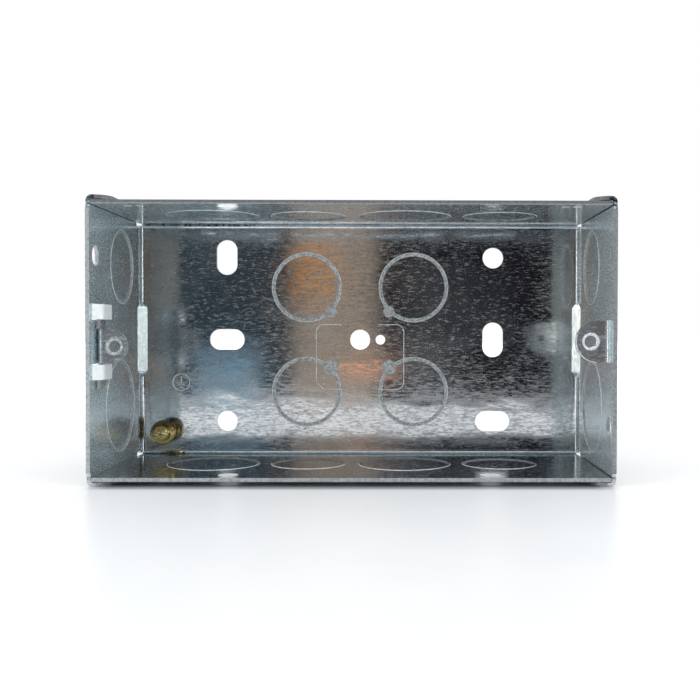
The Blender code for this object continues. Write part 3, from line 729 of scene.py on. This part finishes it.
COLLAR_RADIUS = 1.95 * MM
bpy.ops.mesh.primitive_torus_add(
    major_segments=48, minor_segments=10, major_radius=COLLAR_RADIUS, minor_radius=0.30 * MM,
)
collar = bpy.context.object
collar.scale = (1.0, 1.0, 0.5)
collar.rotation_euler = (math.pi / 2, 0, 0)
collar.location = fixed_lug_place
settle(collar, "fixed_lug_collar", bright_ring_finish, "box")

screw_radius = (screw_high.x - screw_low.x) / 2
screw_axis = (screw_low + screw_high) / 2
start = Vector((screw_axis.x, screw_low.y + 0.45 * MM, screw_axis.z))
add_thread(
    "terminal_screw_thread", screw_radius - 0.04 * MM, 0.2 * MM, 0.7 * MM, 2, start, screw_finish,
    "box", False,
)

# %% [markdown]
# ## The burr round each knock-out
# The shear leaves a fine bright burr on the circle where it bit into the sheet. Here it is one thin
# torus for each of the sixteen knock-outs, turned to lie in its wall, and all are joined. In the
# long walls the shear bit only at the front, so a bisect takes the rear half of those rings away.
# A shorter arc of the same kind runs round the tip of the fixed lug's tongue.

# %% Lay the burrs
def add_burr(centre, turn, radius):
    """A thin torus, turned to lie in its wall."""
    bpy.ops.mesh.primitive_torus_add(
        location=centre, rotation=turn, major_segments=72, minor_segments=6,
        major_radius=radius, minor_radius=BURR,
    )
    return bpy.context.object


INNER_HALF_WIDTH = HALF_WIDTH - SHEET
INNER_HALF_HEIGHT = HALF_HEIGHT - SHEET
IN_LONG_WALL = (0, 0, 0)
IN_END_WALL = (0, math.pi / 2, 0)
IN_PLATE = (math.pi / 2, 0, 0)
knock_outs = []
for side in (-1, 1):
    for x, diameter in ((-39.3, 25.2), (-13.2, 20.4), (13.2, 25.2), (39.3, 20.4)):
        centre = (x * MM, front_y + 25.0 * MM, centre_z + side * INNER_HALF_HEIGHT)
        knock_outs.append((centre, IN_LONG_WALL, diameter))
    for rise, depth, diameter in ((20.2, 27.1, 20.4), (-18.1, 25.5, 25.2)):
        centre = (side * INNER_HALF_WIDTH, front_y + depth * MM, centre_z + rise * MM)
        knock_outs.append((centre, IN_END_WALL, diameter))
    for rise in (-15.6, 15.6):
        centre = (side * 15.9 * MM, back_face_y, centre_z + rise * MM)
        knock_outs.append((centre, IN_PLATE, 20.6))
burrs = []
for centre, turn, diameter in knock_outs:
    burrs.append(add_burr(centre, turn, diameter / 2 * MM))
    if turn == IN_LONG_WALL:
        cut_away(centre, (0, 1, 0))
settle(join(burrs), "knock_out_burrs", bright_ring_finish, "box")

TONGUE_HALF = 5.3 * MM
TONGUE_TIP = 3.8 * MM
tongue_middle = fixed_lug_place + Vector((TONGUE_HALF - TONGUE_TIP, 0, 0))
tongue_burr = add_burr(tongue_middle, IN_PLATE, TONGUE_HALF - BURR / 2)
for normal in ((0.35, 0, 1), (1, 0, 0)):
    cut_away(tongue_middle, normal)
settle(tongue_burr, "fixed_lug_burr", bright_ring_finish, "box")

# %% [markdown]
# ## Marks stamped in the back plate
# Two faint marks show in the plate: the outline left by the press tool round the middle holes, and
# the earth symbol beside the terminal. Both are ridges about a tenth of a millimetre high. Each line
# of the outline starts as a flat primitive's edges, becomes a curve with a small round section, and
# goes back to a mesh half sunk into the plate. The symbol is a ring with four bars, joined.

# %% Raise the marks
def edges_to_ridge(thickness):
    """Turns the active object's loose edges into a thin raised line."""
    bpy.ops.object.convert(target="CURVE")
    ridge = bpy.context.object
    ridge.data.bevel_depth = thickness / 2
    ridge.data.bevel_resolution = 2
    ridge.data.use_fill_caps = True
    bpy.ops.object.convert(target="MESH")
    return bpy.context.object


def keep_edges(piece, keep):
    """Deletes the faces, and the edges whose middle the test turns down."""
    bpy.ops.object.mode_set(mode="EDIT")
    bpy.ops.mesh.select_all(action="SELECT")
    bpy.ops.mesh.delete(type="ONLY_FACE")
    bpy.ops.object.mode_set(mode="OBJECT")
    points = piece.data.vertices
    bpy.ops.object.mode_set(mode="EDIT")
    bpy.ops.mesh.select_mode(type="EDGE")
    bpy.ops.mesh.select_all(action="DESELECT")
    bpy.ops.object.mode_set(mode="OBJECT")
    for edge in piece.data.edges:
        middle = sum((points[index].co for index in edge.vertices), Vector()) / 2
        edge.select = not keep(middle)
    bpy.ops.object.mode_set(mode="EDIT")
    bpy.ops.mesh.delete(type="EDGE")
    bpy.ops.mesh.select_mode(type="VERT")
    bpy.ops.object.mode_set(mode="OBJECT")


OUTLINE_WIDTH = 26.1 * MM
OUTLINE_HEIGHT = 19.4 * MM
OUTLINE_DROP = 5.2 * MM
OUTLINE_GAP = 5.6 * MM
CORNER_ROUND = 2.2 * MM
RIDGE = 0.22 * MM
bpy.ops.mesh.primitive_plane_add(size=1.0, location=(0, 0, 0))
outline = bpy.context.object
outline.scale = (OUTLINE_WIDTH, OUTLINE_HEIGHT, 1.0)
bpy.ops.object.transform_apply(location=False, rotation=False, scale=True)
for segments in (1, 6):
    bpy.ops.object.mode_set(mode="EDIT")
    bpy.ops.mesh.select_mode(type="VERT")
    bpy.ops.mesh.select_all(action="DESELECT")
    bpy.ops.object.mode_set(mode="OBJECT")
    for corner in outline.data.vertices:
        lower_left = corner.co.x < 0 and corner.co.y < 0
        corner.select = lower_left if segments == 1 else not lower_left
    bpy.ops.object.mode_set(mode="EDIT")
    bpy.ops.mesh.bevel(offset=CORNER_ROUND, offset_type="OFFSET", segments=segments, affect="VERTICES")
    bpy.ops.object.mode_set(mode="OBJECT")
bpy.ops.object.mode_set(mode="EDIT")
for gap_edge in (-OUTLINE_GAP, OUTLINE_GAP):
    bpy.ops.mesh.select_all(action="SELECT")
    bpy.ops.mesh.bisect(plane_co=(gap_edge, 0, 0), plane_no=(1, 0, 0))
bpy.ops.object.mode_set(mode="OBJECT")
keep_edges(outline, lambda middle: abs(middle.x) > OUTLINE_GAP * 1.01)
bpy.ops.object.mode_set(mode="EDIT")
bpy.ops.mesh.select_all(action="SELECT")
bpy.ops.mesh.subdivide(number_cuts=24)
bpy.ops.object.mode_set(mode="OBJECT")
outline.rotation_euler = (math.pi / 2, 0, 0)
outline.location = (0, back_face_y - 2 * MM, centre_z - OUTLINE_DROP)
bpy.ops.object.transform_apply(location=True, rotation=True, scale=True)
follow = outline.modifiers.new("follow_the_plate", "SHRINKWRAP")
follow.wrap_method = "PROJECT"
follow.use_project_y = True
follow.use_positive_direction = True
follow.use_negative_direction = False
follow.target = shell
apply_modifiers(outline)
outline = edges_to_ridge(RIDGE)
settle(outline, "pressed_outline", bright_ring_finish, "box")

MARK_X = -53.3 * MM
MARK_Z = -12.8 * MM
MARK_DIAMETER = 5.0 * MM
bpy.ops.mesh.primitive_torus_add(
    major_segments=40, minor_segments=8, major_radius=MARK_DIAMETER / 2, minor_radius=RIDGE * 0.6,
)
ring = bpy.context.object
bars = [ring]
for width, height, rise in (
    (RIDGE, 1.9 * MM, 0.75 * MM), (3.2 * MM, RIDGE, -0.2 * MM),
    (2.2 * MM, RIDGE, -0.8 * MM), (1.1 * MM, RIDGE, -1.4 * MM),
):
    bpy.ops.mesh.primitive_cube_add(size=1.0, location=(0, rise, 0))
    bar = bpy.context.object
    bar.scale = (width, height, RIDGE)
    bpy.ops.object.transform_apply(location=True, rotation=False, scale=True)
    bpy.ops.object.mode_set(mode="EDIT")
    bpy.ops.mesh.select_all(action="SELECT")
    bpy.ops.mesh.bevel(offset=RIDGE / 4, segments=2, affect="EDGES")
    bpy.ops.object.mode_set(mode="OBJECT")
    bars.append(bar)
join(bars)
ring.rotation_euler = (math.pi / 2, 0, 0)
ring.location = (MARK_X, back_face_y, centre_z + MARK_Z)
settle(ring, "earth_mark", bright_ring_finish, "box")

# %% [markdown]
# ## The floor and the light
# The box stands on a white table in a white studio. The floor is a matt white with a weak gloss that
# fades into a plain white surround, so that the shadow under the box stays and no horizon shows.
# Right under the box it is greyer, which deepens the narrow shadow there, and far in front of it the
# white is a little lower.

# %% Lay the floor
FLOOR_HALF = 3.0
FADE_START = 60.0
FADE_END = 420.0
BLACK = (0.0, 0.0, 0.0, 1.0)
PURE_WHITE = (1.0, 1.0, 1.0, 1.0)
FRONT_WHITE = (0.90, 0.905, 0.905, 1.0)
BENEATH_GREY = (0.35, 0.37, 0.39, 1.0)
floor_finish = Finish("white_table", Roughness=0.32, Specular_IOR_Level=0.22, Emission_Strength=1.0)
mm = floor_finish.millimetres()
across = floor_finish.stretched(mm, (1.0, 1.0, 0.0))
distance = floor_finish.node("ShaderNodeVectorMath", {"operation": "LENGTH"}, {0: across}, "Value")
fade = floor_finish.smooth(distance, FADE_START, FADE_END)
mottle = floor_finish.noise(mm, 0.05, 3.0, 0.5)
paper = floor_finish.blend(mottle, (0.88, 0.885, 0.89, 1.0), (0.92, 0.92, 0.92, 1.0))
x, y, z = floor_finish.parts(mm)
beneath = floor_finish.smooth(abs(x), 68.0, 60.0) * floor_finish.smooth(abs(y), 29.0, 24.5)
paper = floor_finish.blend(beneath, paper, BENEATH_GREY)
floor_finish.feed("Base Color", floor_finish.blend(fade, paper, BLACK))
front = floor_finish.smooth(abs(x), 190.0, 90.0) * floor_finish.smooth(y, -20.0, -80.0)
white = floor_finish.blend(front, PURE_WHITE, FRONT_WHITE)
floor_finish.feed("Emission Color", floor_finish.blend(fade, BLACK, white))
bpy.ops.mesh.primitive_plane_add(size=2 * FLOOR_HALF, location=(0, 0, 0))
floor = bpy.context.object
floor.name = "white_table"
floor.data.materials.append(floor_finish.material)
print("floor", 2 * FLOOR_HALF, "m across")

# %% [markdown]
# ## What the zinc mirrors
# Bright zinc is a mirror, so half of its look is the room behind the camera. The photograph shows
# that room in the back plate: mostly dark, with a warm upright band, a bluish patch low on the left
# and the white table below. A card stands in front of the box, between it and the camera, and shows
# only in reflections. It gives off its colours softly and casts no shadow. Two wings at its sides,
# each with one bright upright strip, are what the end walls and the cut edges mirror.

# %% Stand the room card and its wings
def glowing(name):
    """A finish that gives off light and mirrors nothing."""
    finish = Finish(name, Roughness=1.0, Specular_IOR_Level=0.0, Emission_Strength=1.0)
    finish.shader.inputs["Base Color"].default_value = BLACK
    return finish


def show_in_mirrors_only(piece):
    """Hides a piece from the camera and from every light path but reflections."""
    piece.visible_camera = piece.visible_diffuse = False
    piece.visible_transmission = piece.visible_shadow = False


CARD_Y = front_y - 172 * MM
CARD_HALF_WIDTH = 230 * MM
CARD_HEIGHT = 420 * MM
ROOM_WHITE = (0.50, 0.52, 0.53, 1.0)
room = glowing("room_behind_the_camera")
mm = room.millimetres()
x, y, z = room.parts(mm)
patches = room.noise(mm, 0.018, 2.0, 0.5)
left_side = room.smooth(x, -20.0, -60.0)
dark = room.blend(left_side, (0.008, 0.007, 0.010, 1.0), (0.026, 0.040, 0.052, 1.0))
dark = room.blend(room.smooth(patches, 0.48, 0.7), dark, (0.045, 0.047, 0.052, 1.0))
stripe = room.band(x, -49.0, -43.0, -5.0, 3.0)
glow = room.band(z, 50.0, 60.0, 80.0, 92.0) * room.smooth(x, -16.0, -26.0)
stripe_colour = room.blend(glow, (0.33, 0.26, 0.205, 1.0), (0.50, 0.26, 0.12, 1.0))
colour = room.blend(stripe * room.smooth(patches, 0.2, 0.5, 0.75, 1.0), dark, stripe_colour)
ember = room.band(x, -24.0, -18.0, 7.0, 12.0) * room.smooth(abs(z - 19.0), 6.0, 3.0)
colour = room.blend(ember, colour, (0.80, 0.40, 0.24, 1.0))
blue = room.band(x, -101.0, -94.0, -67.0, -60.0) * room.smooth(z, 36.0, 24.0)
colour = room.blend(blue, colour, (0.17, 0.28, 0.36, 1.0))
colour = room.blend(room.smooth(abs(x), 110.0, 230.0), colour, (0.40, 0.43, 0.45, 1.0))
colour = room.blend(room.smooth(z, 100.0, 170.0), colour, ROOM_WHITE)
room.feed("Emission Color", colour)
bpy.ops.mesh.primitive_plane_add(size=1.0, location=(0, CARD_Y, CARD_HEIGHT / 2))
card = bpy.context.object
card.rotation_euler = (math.pi / 2, 0, 0)
card.scale = (2 * CARD_HALF_WIDTH, CARD_HEIGHT, 1.0)
bpy.ops.object.transform_apply(location=True, rotation=True, scale=True)
card.name = "room_card"
card.data.materials.append(room.material)
show_in_mirrors_only(card)

WING_REACH = 150 * MM
STRIP_LIGHT = (3.9, 4.0, 3.9, 1.0)
wings = glowing("side_of_the_room")
x, y, z = wings.parts(wings.millimetres())
strip = wings.band(y - CARD_Y / MM, 14.0, 20.0, 58.0, 66.0)
unlit = wings.blend(wings.smooth(z, 60.0, 180.0), (0.10, 0.11, 0.12, 1.0), ROOM_WHITE)
wings.feed("Emission Color", wings.blend(strip, unlit, STRIP_LIGHT))
for side in (-1, 1):
    wing_middle = (side * CARD_HALF_WIDTH, CARD_Y + WING_REACH / 2, CARD_HEIGHT / 4)
    bpy.ops.mesh.primitive_plane_add(size=1.0, location=wing_middle)
    wing = bpy.context.object
    wing.rotation_euler = (math.pi / 2, 0, math.pi / 2 - side * math.radians(8))
    wing.scale = (WING_REACH, CARD_HEIGHT / 2, 1.0)
    bpy.ops.object.transform_apply(location=True, rotation=True, scale=True)
    wing.name = f"room_wing_{'left' if side < 0 else 'right'}"
    wing.data.materials.append(wings.material)
    show_in_mirrors_only(wing)
print("card at y =", round(CARD_Y / MM), "mm")

# %% [markdown]
# ## Soft studio light
# One wide lamp hangs above the front, and two upright ones stand either side of the camera. The two
# light only what is matt, so no mirror shows them. The surround is plain white to the camera and in
# reflections, and a little dimmer and bluer as light on matt faces.

# %% Hang the lamps
def add_lamp(name, place_at, look_at, width, height, watts, glossy=True):
    """Hangs a rectangular lamp that faces a point; one that isn't glossy shows in no mirror."""
    light = bpy.data.lights.new(name, "AREA")
    light.shape = "RECTANGLE"
    light.size, light.size_y, light.energy = width, height, watts
    lamp = bpy.data.objects.new(name, light)
    lamp.location = place_at
    lamp.rotation_euler = (Vector(place_at) - Vector(look_at)).to_track_quat("Z", "Y").to_euler()
    lamp.visible_glossy = glossy
    bpy.context.scene.collection.objects.link(lamp)


middle = (0, 0, centre_z)
add_lamp("top_softbox", (0, -0.25, 0.9), middle, 0.9, 0.6, 2.85)
for side in (-1, 1):
    name = f"side_softbox_{'left' if side < 0 else 'right'}"
    add_lamp(name, (side * 0.45, -0.32, 0.16), middle, 0.22, 0.34, 0.9, False)

world = bpy.data.worlds.new("white_studio")
world.use_nodes = True
bpy.context.scene.world = world
nodes, links = world.node_tree.nodes, world.node_tree.links
background = nodes["Background"]
light_path = nodes.new("ShaderNodeLightPath")
shown = light_path.outputs["Is Camera Ray"]
for ray in ("Is Glossy Ray", "Is Transmission Ray"):
    either = nodes.new("ShaderNodeMath")
    either.operation = "MAXIMUM"
    links.new(shown, either.inputs[0])
    links.new(light_path.outputs[ray], either.inputs[1])
    shown = either.outputs[0]
plain = nodes.new("ShaderNodeMix")
plain.data_type = "RGBA"
plain.inputs[6].default_value = (0.80, 0.82, 0.84, 1.0)
plain.inputs[7].default_value = (1.0, 1.0, 1.0, 1.0)
links.new(shown, plain.inputs[0])
links.new(plain.outputs[2], background.inputs["Color"])
